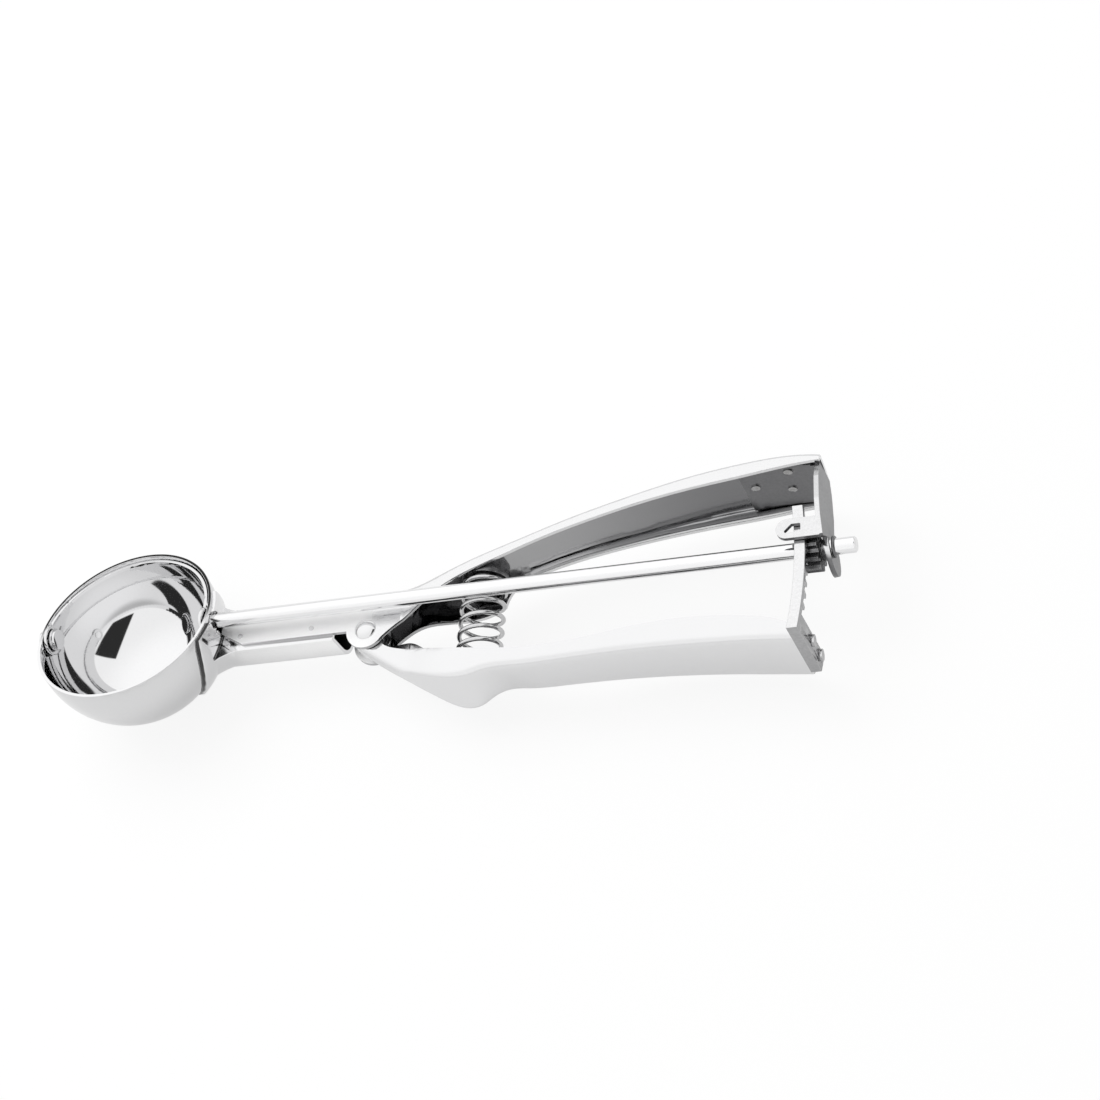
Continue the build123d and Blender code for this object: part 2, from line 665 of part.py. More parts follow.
rack_tooth = Polygon(
    (-bite_out, rack_root_z), (-bite_in, rack_tip_z), (bite_in, rack_tip_z), (bite_out, rack_root_z),
    (bite_out, rack_root_z + tooth_sink), (-bite_out, rack_root_z + tooth_sink), align=None)
tooth_bar = extrude(Plane.YZ * rack_tooth, amount=rack_thick * 2)
tooth_bar = Pos(rack_mid_x - rack_thick, 0, 0) * tooth_bar
mesh_angle = math.asin(-pivot_y / arm)
step_angle = pitch / (arm * math.cos(mesh_angle))
for i in range(rack_tooth_count):
    turn = Rot(0, 0, math.degrees((1 - i) * step_angle))
    placed = Pos(pivot_x, pivot_y, 0) * turn * Pos(-pivot_x, -pivot_y, 0) * tooth_bar
    rack = rack + (placed & rack_ring)
rack = whole(rack)
rivet_y = foot_top_y - rack_rivet_head
rivet_list = []
for z in rack_rivet_z:
    rivet_reach = math.sqrt(arm ** 2 - (rivet_y - pivot_y) ** 2) + pivot_x
    inner_x = rivet_reach - rack_thick / 2 - sheet
    outer_x = rivet_reach + rack_thick / 2
    shank = along_x(rack_rivet_radius, inner_x, outer_x, rivet_y, z)
    lever = lever - along_x(rack_rivet_radius, inner_x - 1, outer_x + 1, rivet_y, z)
    rack = rack - along_x(rack_rivet_radius, inner_x - 1, outer_x + 1, rivet_y, z)
    head_end = outer_x + rack_rivet_head_height
    outer_head = along_x(rack_rivet_head, outer_x - 1, head_end, rivet_y, z) - ring_out
    inner_head = along_x(rack_rivet_head, inner_x - rack_rivet_head_height, inner_x + 1, rivet_y, z)
    inner_head = inner_head & lever_space
    rivet_list.append(whole(shank + whole(outer_head) + whole(inner_head)))
rack_rivets = Compound(children=rivet_list)
lever = whole(lever)
rack = whole(rack)

# End bracket: plate under the web, turned down as the end plate, with the rack's guide tab
under_web = Spline(*[(x, y, 0) for x, y in beside(top_edge, sheet + bracket_sheet, 20)])
under_end = under_web.position_at(1)
skin = face_of(
    web_inner,
    under_web,
    Line(inner_start, under_web.position_at(0)),
    Line(inner_end, under_end),
)
pad_plan = plan(handle_half, strip_front_x, sheet + bracket_side_gap, handle_end_x)
pad = slab(skin, side_low, side_high) & pad_plan
plate_back_x = plate_hang_x + bracket_sheet
pad = pad & block(bracket_front_x, plate_back_x, 0, reach, -reach, reach)
pad = pad - tail_trim
guide_low_z = rack_back_z + slide_gap
guide_high_z = guide_low_z + bracket_sheet
plate_top_y = inner_end.Y
near_root = mid_z + handle_half[-1][1] - sheet - bracket_side_gap
plate_far_z = plate_far_side[-1][1]
guide_mid_x = guide_front_x + guide_half
guide_low_y = guide_mid_y - guide_half
guide_high_y = guide_mid_y + guide_half
plate_outline = Polygon(
    (plate_hang_y, near_root), *plate_near_side, (guide_high_y, guide_high_z), (guide_low_y, guide_high_z),
    (guide_low_y, guide_low_z), plate_notch, (0, 0), *plate_far_side, (plate_hang_y, plate_far_z), align=None)
plate_face = plate_outline + Pos(0, plate_lobe_z) * Circle(plate_lobe)
end_plate = Pos(0, -plate_hang_y, 0) * extrude(Plane.YZ * plate_face, amount=bracket_sheet)
end_plate = Pos(plate_hang_x, plate_hang_y, 0) * Rot(0, 0, plate_lean) * end_plate
in_plate_x = plate_rod_x + plate_slant / 2
end_plate = end_plate + along_x(washer_radius, seat_face_x, in_plate_x)
web_join = block(plate_hang_x - bracket_sheet, plate_back_x, plate_top_y - bracket_sheet, plate_top_y,
                 plate_far_z, near_root)
guide = block(guide_mid_x, in_plate_x, guide_low_y, guide_high_y, guide_low_z, guide_high_z)
guide = guide + along_z(guide_half, guide_low_z, guide_high_z, guide_mid_x, guide_mid_y)
slot_low_y = guide_mid_y - guide_slot
slot_high_y = guide_mid_y + guide_slot
slot_rear_x = guide_mid_x + slot_rear
slot = Polygon(
    (guide_mid_x - slot_front, slot_low_y), (slot_rear_x, slot_low_y), (slot_rear_x, slot_high_y),
    (guide_mid_x + slot_front, slot_high_y), align=None)
guide = guide - slab(fillet(slot.vertices(), slot_round), guide_low_z - 1, guide_high_z + 1)
end_bracket = pad + web_join + end_plate + guide
end_bracket = end_bracket - along_x(rod_radius + run_gap, 0, rod_end_x + 10)
weld_line = beside(top_edge, sheet + bracket_sheet + weld_proud, 20)
weld_face = face_of(
    web_inner,
    Spline(*[(x, y, 0) for x, y in weld_line]),
    Line(inner_start, (*weld_line[0], 0)),
    Line(inner_end, (*weld_line[-1], 0)),
)
weld_layer = slab(weld_face, side_low, side_high)
weld_list = []
for x, z in bracket_weld_points:
    button = whole(along_y(weld_radius, 0, reach, x, z) & weld_layer)
    weld_list.append(button)
    end_bracket = end_bracket - button
bracket_welds = Compound(children=weld_list)
end_bracket = whole(end_bracket)

pieces = {
    "bowl": bowl,
    "neck": neck,
    "neck_welds": neck_welds,
    "main_handle": main_handle,
    "end_bracket": end_bracket,
    "bracket_welds": bracket_welds,
    "pivot_rivet": pivot_rivet,
    "pivot_spacer": pivot_spacer,
    "lever": lever,
    "rack": rack,
    "rack_rivets": rack_rivets,
    "spring": spring,
    "spring_seat_upper": seat_upper,
    "spring_seat_lower": seat_lower,
    "rod": rod,
    "blade": blade,
    "blade_pin": blade_pin,
    "blade_washer": blade_washer,
    "pinion": pinion,
    "pinion_pin": pinion_pin,
    "thrust_washer": thrust_washer,
    "rod_collar": rod_collar,
}

# Origin in the middle of the footprint, on the table
boxes = [shape.bounding_box() for shape in pieces.values()]
low_x = min(b.min.X for b in boxes)
high_x = max(b.max.X for b in boxes)
low_y = min(b.min.Y for b in boxes)
high_y = max(b.max.Y for b in boxes)
low_z = min(b.min.Z for b in boxes)
high_z = max(b.max.Z for b in boxes)
shift = Vector(-(low_x + high_x) / 2, -(low_y + high_y) / 2, -low_z)
print("size", round(high_x - low_x, 2), round(high_y - low_y, 2), round(high_z - low_z, 2))
print("rod axis at", round(shift.X, 3), round(shift.Y, 3), round(shift.Z, 3))
print("pivot at", round(shift.X + pivot_x, 3), round(shift.Y + pivot_y, 3), round(shift.Z + mid_z, 3))
print("blade turns per lever turn", round(-arm * math.cos(mesh_angle) / pinion_pitch_radius, 5))
print("lever travel in degrees", round(math.degrees(squeeze), 3))

os.makedirs("parts", exist_ok=True)
for name, shape in pieces.items():
    export_step(Pos(shift.X, shift.Y, shift.Z) * shape, "parts/" + name + ".step")
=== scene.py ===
import math

import bpy
from mathutils import Matrix, Vector


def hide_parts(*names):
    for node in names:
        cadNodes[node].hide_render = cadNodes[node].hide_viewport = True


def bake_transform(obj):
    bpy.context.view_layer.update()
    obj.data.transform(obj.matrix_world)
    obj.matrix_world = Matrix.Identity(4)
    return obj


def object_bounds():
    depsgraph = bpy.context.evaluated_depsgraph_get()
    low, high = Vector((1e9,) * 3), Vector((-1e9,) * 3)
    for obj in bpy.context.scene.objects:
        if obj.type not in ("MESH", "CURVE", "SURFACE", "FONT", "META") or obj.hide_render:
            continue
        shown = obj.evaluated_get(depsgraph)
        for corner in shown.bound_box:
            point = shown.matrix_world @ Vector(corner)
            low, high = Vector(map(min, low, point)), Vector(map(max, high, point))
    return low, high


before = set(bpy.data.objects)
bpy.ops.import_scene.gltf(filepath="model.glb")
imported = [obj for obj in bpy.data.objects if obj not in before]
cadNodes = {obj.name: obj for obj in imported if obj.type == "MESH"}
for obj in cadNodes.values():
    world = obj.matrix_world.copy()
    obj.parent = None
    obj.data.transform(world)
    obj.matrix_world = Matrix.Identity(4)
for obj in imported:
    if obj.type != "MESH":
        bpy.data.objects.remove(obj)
cadLow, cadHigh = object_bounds()
print("scoop frame loaded:", len(cadNodes), "nodes")


# camera, at the photo's angle
cameraSetup = {
    "place": (0.226729, -0.280282, 0.495509),
    "right": (0.936387, 0.066774, -0.344558),
    "up": (0.116454, 0.867003, 0.484505),
    "back": (0.331085, -0.493809, 0.804074),
    "lens": 76.607,
    "sensor": 36.0,
    "clip": (0.01, 20.0),
}


def placeCamera(setup):
    data = bpy.data.cameras.new("photoCamera")
    data.lens = setup["lens"]
    data.sensor_width = setup["sensor"]
    data.clip_start, data.clip_end = setup["clip"]
    camera = bpy.data.objects.new("photoCamera", data)
    bpy.context.scene.collection.objects.link(camera)
    turn = Matrix((setup["right"], setup["up"], setup["back"])).transposed()
    camera.matrix_world = Matrix.Translation(setup["place"]) @ turn.to_4x4()
    bpy.context.scene.camera = camera


placeCamera(cameraSetup)
bpy.context.scene.view_settings.view_transform = "Standard"
print("camera placed")


# small helpers for node trees: a value is a number, a tuple or another node's output
def addNode(tree, kind, **values):
    node = tree.nodes.new(kind)
    for name, value in values.items():
        setattr(node, name, value)
    return node


def putIn(tree, socket, value):
    if isinstance(value, (int, float, tuple)):
        socket.default_value = value
    elif value is not None:
        tree.links.new(value, socket)


def mathNode(tree, operation, a, b=None, clamp=False):
    node = addNode(tree, "ShaderNodeMath", operation=operation, use_clamp=clamp)
    putIn(tree, node.inputs[0], a)
    putIn(tree, node.inputs[1], b)
    return node.outputs[0]


def vectorNode(tree, operation, a, b=None):
    node = addNode(tree, "ShaderNodeVectorMath", operation=operation)
    putIn(tree, node.inputs[0], a)
    putIn(tree, node.inputs[1], b)
    return node.outputs["Value" if operation in ("DOT_PRODUCT", "LENGTH") else "Vector"]


def dotWith(tree, a, b):
    return vectorNode(tree, "DOT_PRODUCT", a, b)


def mixValue(tree, factor, a, b):
    node = addNode(tree, "ShaderNodeMix", data_type="FLOAT")
    for index, value in ((0, factor), (2, a), (3, b)):
        putIn(tree, node.inputs[index], value)
    return node.outputs[0]


def mixColour(tree, factor, a, b):
    node = addNode(tree, "ShaderNodeMix", data_type="RGBA")
    for index, value in ((0, factor), (6, a), (7, b)):
        if isinstance(value, tuple):
            value = (*value, 1.0)
        putIn(tree, node.inputs[index], value)
    return node.outputs[2]


def rangeNode(tree, value, low, high, toLow=0.0, toHigh=1.0):
    node = addNode(tree, "ShaderNodeMapRange", clamp=True, interpolation_type="SMOOTHSTEP")
    inputs = {"Value": value, "From Min": low, "From Max": high, "To Min": toLow, "To Max": toHigh}
    for name, part in inputs.items():
        putIn(tree, node.inputs[name], part)
    return node.outputs["Result"]


def coordinate(tree, kind):
    return addNode(tree, "ShaderNodeTexCoord").outputs[kind]


def splitAxes(tree, vector):
    node = addNode(tree, "ShaderNodeSeparateXYZ")
    tree.links.new(vector, node.inputs[0])
    return node.outputs


# studio: a white tent, brightest overhead, with one dark opening towards +X, on a white floor
studioSetup = {
    "tent": 1.05,
    "peak": 1.20,
    "peakTowards": (-0.331, 0.494, 0.804),
    "peakSpread": (0.3, 0.95),
    "opening": ((0.670, 0.210, 0.712), (0.911, 0.244, 0.334), (0.730, -0.524, 0.438), (0.317, -0.772, 0.550)),
    "openingEdge": 0.014,
    "openingShade": 0.03,
    "horizonFar": 0.62,
    "horizonNear": 0.88,
    "horizonSpread": (-0.35, 0.25),
    "horizonHeight": (0.05, 0.35),
    "diffuse": 0.75,
    "floorSize": 3.0,
    "floorDrop": 0.0004,
    "floorColour": (0.93, 0.93, 0.93, 1.0),
    "floorGlow": 0.86,
    "glowInMetal": 0.55,
    "floorInMetal": 0.84,
}


def openingMask(tree, direction, places, soft):
    # 1 inside the four-cornered opening, with a soft border
    corners = [Vector(corner) for corner in places]
    middle = sum(corners, Vector()) / len(corners)
    inside = 1.0
    for k, corner in enumerate(corners):
        edge = corners[(k + 1) % len(corners)].cross(corner).normalized()
        if edge.dot(middle) < 0:
            edge = -edge
        side = rangeNode(tree, dotWith(tree, direction, tuple(edge)), -soft, soft)
        inside = mathNode(tree, "MULTIPLY", inside, side)
    return inside


def lightStudio(setup):
    world = bpy.data.worlds.new("studioTent")
    bpy.context.scene.world = world
    world.use_nodes = True
    tree = world.node_tree
    tree.nodes.clear()
    direction = coordinate(tree, "Generated")
    towardsPeak = dotWith(tree, direction, setup["peakTowards"])
    tent = rangeNode(tree, towardsPeak, *setup["peakSpread"], setup["tent"], setup["peak"])
    away = dotWith(tree, direction, (0.0, 1.0, 0.0))
    horizon = rangeNode(tree, away, *setup["horizonSpread"], setup["horizonNear"], setup["horizonFar"])
    height = dotWith(tree, direction, (0.0, 0.0, 1.0))
    above = rangeNode(tree, height, *setup["horizonHeight"])
    tent = mathNode(tree, "MULTIPLY", tent, mixValue(tree, above, horizon, 1.0))
    inside = openingMask(tree, direction, setup["opening"], setup["openingEdge"])
    tent = mathNode(tree, "MULTIPLY", tent, mixValue(tree, inside, 1.0, setup["openingShade"]))
    path = addNode(tree, "ShaderNodeLightPath").outputs
    soft = mathNode(tree, "MULTIPLY", tent, setup["diffuse"])
    seen = mixValue(tree, path["Is Glossy Ray"], soft, tent)
    glow = addNode(tree, "ShaderNodeBackground")
    glow.inputs["Color"].default_value = (1.0, 1.0, 1.0, 1.0)
    tree.links.new(mixValue(tree, path["Is Camera Ray"], seen, 1.0), glow.inputs["Strength"])
    out = addNode(tree, "ShaderNodeOutputWorld")
    tree.links.new(glow.outputs[0], out.inputs["Surface"])


def floorMaterial(setup):
    # the glow keeps the floor white, the matt share keeps the shadow
    material = bpy.data.materials.new("paleFloor")
    material.use_nodes = True
    tree = material.node_tree
    tree.nodes.clear()
    path = addNode(tree, "ShaderNodeLightPath").outputs
    matt = addNode(tree, "ShaderNodeBsdfDiffuse")
    matt.inputs["Color"].default_value = setup["floorColour"]
    glow = addNode(tree, "ShaderNodeEmission")
    bright = mixValue(tree, path["Is Camera Ray"], setup["floorInMetal"], 1.0)
    tree.links.new(bright, glow.inputs["Strength"])
    seen = mathNode(tree, "MAXIMUM", path["Is Camera Ray"], path["Is Glossy Ray"])
    seen = mathNode(tree, "MAXIMUM", seen, path["Is Transmission Ray"])
    share = mixValue(tree, path["Is Glossy Ray"], setup["floorGlow"], setup["glowInMetal"])
    mix = addNode(tree, "ShaderNodeMixShader")
    tree.links.new(mathNode(tree, "MULTIPLY", seen, share), mix.inputs[0])
    tree.links.new(matt.outputs[0], mix.inputs[1])
    tree.links.new(glow.outputs[0], mix.inputs[2])
    out = addNode(tree, "ShaderNodeOutputMaterial")
    tree.links.new(mix.outputs[0], out.inputs["Surface"])
    return material


def layFloor(setup):
    half = setup["floorSize"] / 2
    z = cadLow.z - setup["floorDrop"]
    corners = [(-half, -half, z), (half, -half, z), (half, half, z), (-half, half, z)]
    mesh = bpy.data.meshes.new("studioFloor")
    mesh.from_pydata(corners, [], [(0, 1, 2, 3)])
    mesh.materials.append(floorMaterial(setup))
    floor = bpy.data.objects.new("studioFloor", mesh)
    bpy.context.scene.collection.objects.link(floor)


lampSetup = {"place": (-0.25, 0.25, 0.75), "size": 0.6, "energy": 3.0}


def hangLamp(setup):
    data = bpy.data.lights.new("softLamp", "AREA")
    data.shape = "SQUARE"
    data.size = setup["size"]
    data.energy = setup["energy"]
    lamp = bpy.data.objects.new("softLamp", data)
    bpy.context.scene.collection.objects.link(lamp)
    lamp.visible_glossy = False  # the steel mirrors the tent alone
    lamp.location = setup["place"]
    lamp.rotation_mode = "QUATERNION"
    lamp.rotation_quaternion = (-Vector(setup["place"])).to_track_quat("-Z", "Y")


lightStudio(studioSetup)
layFloor(studioSetup)
hangLamp(lampSetup)
print("studio lit")


# effects that several steels share
def newGroup(name, inputs, outputs):
    group = bpy.data.node_groups.new(name, "ShaderNodeTree")
    for label, value in inputs.items():
        socket = group.interface.new_socket(label, in_out="INPUT", socket_type="NodeSocketFloat")
        socket.default_value = value
    for label in outputs:
        group.interface.new_socket(label, in_out="OUTPUT", socket_type="NodeSocketFloat")
    start = addNode(group, "NodeGroupInput").outputs
    end = addNode(group, "NodeGroupOutput").inputs
    return group, start, end


marksSetup = {
    "lines": {"scales": (90.0, 5200.0, 5200.0), "detail": 3.0},
    "hairs": {"scales": (240.0, 1900.0, 2300.0), "detail": 6.0, "cut": (0.58, 0.74)},
    "cloud": {"scales": (70.0, 95.0, 95.0), "detail": 3.0, "cut": (0.42, 0.72)},
    "lineRough": 0.5,
    "hairRough": 0.35,
    "smudgeTone": 0.6,
    "hairTone": 0.4,
}


def stretchedNoise(tree, layer):
    mapping = addNode(tree, "ShaderNodeMapping")
    mapping.inputs["Scale"].default_value = layer["scales"]
    tree.links.new(coordinate(tree, "Object"), mapping.inputs["Vector"])
    noise = addNode(tree, "ShaderNodeTexNoise")
    noise.inputs["Scale"].default_value = 1.0
    noise.inputs["Detail"].default_value = layer["detail"]
    tree.links.new(mapping.outputs["Vector"], noise.inputs["Vector"])
    return noise.outputs["Fac"]


def makePolishMarks(setup):
    inputs = {"Scratch": 0.5, "Smudge": 0.5}
    group, start, end = newGroup("polishMarks", inputs, ("Roughness", "Height", "Tone"))
    lines = stretchedNoise(group, setup["lines"])
    hairs = rangeNode(group, stretchedNoise(group, setup["hairs"]), *setup["hairs"]["cut"])
    cloud = rangeNode(group, stretchedNoise(group, setup["cloud"]), *setup["cloud"]["cut"])
    scratch = mathNode(group, "MULTIPLY", start["Scratch"], lines)
    hair = mathNode(group, "MULTIPLY", start["Scratch"], hairs)
    smudge = mathNode(group, "MULTIPLY", start["Smudge"], cloud)
    rough = mathNode(group, "ADD", mathNode(group, "MULTIPLY", scratch, setup["lineRough"]), smudge)
    rough = mathNode(group, "ADD", rough, mathNode(group, "MULTIPLY", hair, setup["hairRough"]))
    smudgeTone = mathNode(group, "MULTIPLY", smudge, setup["smudgeTone"])
    hairTone = mathNode(group, "MULTIPLY", hair, setup["hairTone"])
    group.links.new(rough, end["Roughness"])
    group.links.new(mathNode(group, "ADD", scratch, hair), end["Height"])
    group.links.new(mathNode(group, "ADD", smudgeTone, hairTone), end["Tone"])
    return group


grainSetup = {
    "noiseScale": 1500.0, "noiseDetail": 5.0, "cellScale": 2600.0, "pits": (0.05, 0.5), "tone": (0.3, 0.7),
}


def makePressedGrain(setup):
    group, start, end = newGroup("pressedGrain", {"Size": 1.0}, ("Height", "Tone"))
    spot = coordinate(group, "Object")
    noise = addNode(group, "ShaderNodeTexNoise")
    group.links.new(spot, noise.inputs["Vector"])
    group.links.new(mathNode(group, "MULTIPLY", start["Size"], setup["noiseScale"]), noise.inputs["Scale"])
    noise.inputs["Detail"].default_value = setup["noiseDetail"]
    cells = addNode(group, "ShaderNodeTexVoronoi")
    group.links.new(spot, cells.inputs["Vector"])
    group.links.new(mathNode(group, "MULTIPLY", start["Size"], setup["cellScale"]), cells.inputs["Scale"])
    pits = rangeNode(group, cells.outputs["Distance"], *setup["pits"])
    group.links.new(mathNode(group, "MULTIPLY", noise.outputs["Fac"], pits), end["Height"])
    group.links.new(rangeNode(group, noise.outputs["Fac"], *setup["tone"]), end["Tone"])
    return group


edgeWearAndSheenSetup = {"samples": 6, "turn": (0.02, 0.25)}


# rounded edges painted in a lighter colour: partly rubbed wear, partly painted sheen
def makeEdgeWearAndSheen(setup):
    group, start, end = newGroup("edgeWearAndSheen", {"Width": 0.0004}, ("Mask",))
    rounded = addNode(group, "ShaderNodeBevel", samples=setup["samples"])
    group.links.new(start["Width"], rounded.inputs["Radius"])
    flat = addNode(group, "ShaderNodeNewGeometry").outputs["Normal"]
    turned = mathNode(group, "SUBTRACT", 1.0, dotWith(group, rounded.outputs["Normal"], flat))
    group.links.new(rangeNode(group, turned, *setup["turn"]), end["Mask"])
    return group


polishMarks = makePolishMarks(marksSetup)
pressedGrain = makePressedGrain(grainSetup)
edgeWearAndSheen = makeEdgeWearAndSheen(edgeWearAndSheenSetup)


def placeGroup(tree, group, **values):
    node = addNode(tree, "ShaderNodeGroup", node_tree=group)
    for name, value in values.items():
        node.inputs[name].default_value = value
    return node.outputs


# masks by where a face is and which way it looks, in the solid's own frame
def facing(tree, direction, low=0.45, high=0.65):
    return rangeNode(tree, dotWith(tree, coordinate(tree, "Normal"), direction), low, high)


def place(tree):
    return splitAxes(tree, coordinate(tree, "Object"))


def both(tree, *masks):
    made = masks[0]
    for mask in masks[1:]:
        made = mathNode(tree, "MULTIPLY", made, mask)
    return made


# painted light: faces that look up, painted paler in the rack and satin steels
def upFacing(tree):
    return facing(tree, (0.0, 0.0, 1.0), 0.7, 0.9)


# the two handles are channels that widen to the rear
channelSetup = {
    "midZ": 0.0166,
    "fromX": 0.0125,
    "handle": {"half": 0.0063, "slope": 0.0415},
    "lever": {"half": 0.0062, "slope": 0.032},
    "soft": 0.0002,
    "wallFromMid": (0.001, 0.002),
    "hemIn": 0.0006,
    "webFrontX": (0.080, 0.015),
    "behindPivotX": (0.022, 0.013),
    "stripX": (-0.014, -0.020),
}


def betweenWalls(tree, channel, inset=0.0):
    # 1 on what lies between the two walls of a channel
    x, y, z = place(tree)
    grown = mathNode(tree, "MULTIPLY", mathNode(tree, "SUBTRACT", x, channelSetup["fromX"]), channel["slope"])
    half = mathNode(tree, "ADD", grown, channel["half"] - inset)
    away = mathNode(tree, "ABSOLUTE", mathNode(tree, "SUBTRACT", z, channelSetup["midZ"]))
    return rangeNode(tree, mathNode(tree, "SUBTRACT", half, away), 0.0, channelSetup["soft"])


# painted shade: the walls' inner faces are painted darker in both handles
def wallInside(tree, up):
    # the inner face of a wall: up is 1 for the far wall, which looks up, and -1 for the near one
    x, y, z = place(tree)
    fromMid = mathNode(tree, "MULTIPLY", mathNode(tree, "SUBTRACT", channelSetup["midZ"], z), up)
    return both(tree, facing(tree, (0.0, 0.0, up)), rangeNode(tree, fromMid, *channelSetup["wallFromMid"]))


def farWallInside(tree):
    return wallInside(tree, 1.0)


def nearWallInside(tree):
    return wallInside(tree, -1.0)


# painted shade: the webs' inner faces are painted darker in both handles
def handleWebInside(tree):
    return both(tree, facing(tree, (0.0, -1.0, 0.0)), betweenWalls(tree, channelSetup["handle"]))


def leverWebInside(tree):
    return both(tree, facing(tree, (0.0, 1.0, 0.0)), betweenWalls(tree, channelSetup["lever"]))


def webFront(tree):
    # painted light: the handle's web is painted brighter towards the pivot
    x, y, z = place(tree)
    return both(tree, handleWebInside(tree), rangeNode(tree, x, *channelSetup["webFrontX"]))


def hemInside(tree):
    # the folded edge stands in from the far wall and is painted pale again, outside the wall's painted shade
    return both(tree, farWallInside(tree), betweenWalls(tree, channelSetup["handle"], channelSetup["hemIn"]))


def behindPivot(tree):
    # painted shade: the short deep stretch of the far wall beside the spring, painted near black
    x, y, z = place(tree)
    return both(tree, farWallInside(tree), rangeNode(tree, x, *channelSetup["behindPivotX"]))


def stripTop(tree):
    # painted light: the flat strip under the rod is painted near white
    x, y, z = place(tree)
    return both(tree, facing(tree, (0.0, 0.0, 1.0)), rangeNode(tree, x, *channelSetup["stripX"]))


bowlSetup = {
    "centre": (-0.0855, -0.000212, 0.025),
    "axis": (0.0, 0.2419, 0.9703),
    "outward": (0.008, 0.012),
    "rimFacing": (0.9, 0.95),
    "rimInner": (0.02424, 0.02429),
    "rimOuter": (0.02497, 0.02492),
    "rimFarY": (-0.004, 0.004),
    "saddleReach": (0.0268, 0.0265),
    "saddleTurn": (0.7, 0.5),
    "saddleNearY": (0.002, -0.002),
}


def fromBowl(tree):
    return vectorNode(tree, "SUBTRACT", coordinate(tree, "Object"), bowlSetup["centre"])


# painted shade: the bowl's outside is painted darker than its inside
def bowlOutside(tree):
    return rangeNode(tree, dotWith(tree, fromBowl(tree), coordinate(tree, "Normal")), *bowlSetup["outward"])


def rimDarkReflection(tree):
    # painted dark reflection: a dark line along the far side of the rim's flat top
    radius = vectorNode(tree, "LENGTH", vectorNode(tree, "CROSS_PRODUCT", fromBowl(tree), bowlSetup["axis"]))
    inner = rangeNode(tree, radius, *bowlSetup["rimInner"])
    outer = rangeNode(tree, radius, *bowlSetup["rimOuter"])
    x, y, z = place(tree)
    flatTop = facing(tree, bowlSetup["axis"], *bowlSetup["rimFacing"])
    return both(tree, flatTop, inner, outer, rangeNode(tree, y, *bowlSetup["rimFarY"]))


def saddleEdgeShade(tree):
    # painted shade on the sheet's cut edge round the bowl: close to it, and looking across its radius
    away = fromBowl(tree)
    length = vectorNode(tree, "LENGTH", away)
    outward = mathNode(tree, "ABSOLUTE", dotWith(tree, away, coordinate(tree, "Normal")))
    across = rangeNode(tree, mathNode(tree, "DIVIDE", outward, length), *bowlSetup["saddleTurn"])
    close = rangeNode(tree, length, *bowlSetup["saddleReach"])
    x, y, z = place(tree)
    return both(tree, close, across, rangeNode(tree, y, *bowlSetup["saddleNearY"]))


neckSetup = {
    "axisY": -0.001012,
    "axisZ": 0.013,
    "troughDepth": (-0.001, -0.002),
    "troughX": (-0.0595, -0.058),
    "sideX": (-0.0595, -0.054),
    "sideZ": (0.008, 0.018),
}


def troughInside(tree):
    # painted shade: faces of the neck that look at the middle line of its trough, painted near black
    x, y, z = place(tree)
    lookX, lookY, lookZ = splitAxes(tree, coordinate(tree, "Normal"))
    sideways = mathNode(tree, "MULTIPLY", mathNode(tree, "SUBTRACT", y, neckSetup["axisY"]), lookY)
    upwards = mathNode(tree, "MULTIPLY", mathNode(tree, "SUBTRACT", z, neckSetup["axisZ"]), lookZ)
    inwards = rangeNode(tree, mathNode(tree, "ADD", sideways, upwards), *neckSetup["troughDepth"])
    return both(tree, inwards, rangeNode(tree, x, *neckSetup["troughX"]))


def neckSideTop(tree):
    # painted light: the neck's near side is painted paler upwards
    x, y, z = place(tree)
    return both(tree, facing(tree, (0.0, -1.0, 0.0)),
                rangeNode(tree, z, *neckSetup["sideZ"]), rangeNode(tree, x, *neckSetup["sideX"]))


def grey(level, blue=0.005):
    return (level, level, level + blue)


# zones: a mask, the colour there and what it adds to the roughness; the zone colours are painted light and
# shade
mirrorPolish = {
    "colour": grey(0.78), "dark": grey(0.66, 0.01), "scratch": 0.04, "smudge": 0.03, "markTone": 1.0,
    "grainSize": 1.0, "grainTone": 0.06, "grainRough": 0.01, "grainBump": 0.1, "rough": 0.02,
    "bump": 0.05, "bumpDepth": 0.00002, "edge": 0.0003, "edgeShine": 0.4, "edgeColour": grey(0.84, 0.0),
    "zones": (), "zoneDark": 0.8,
}


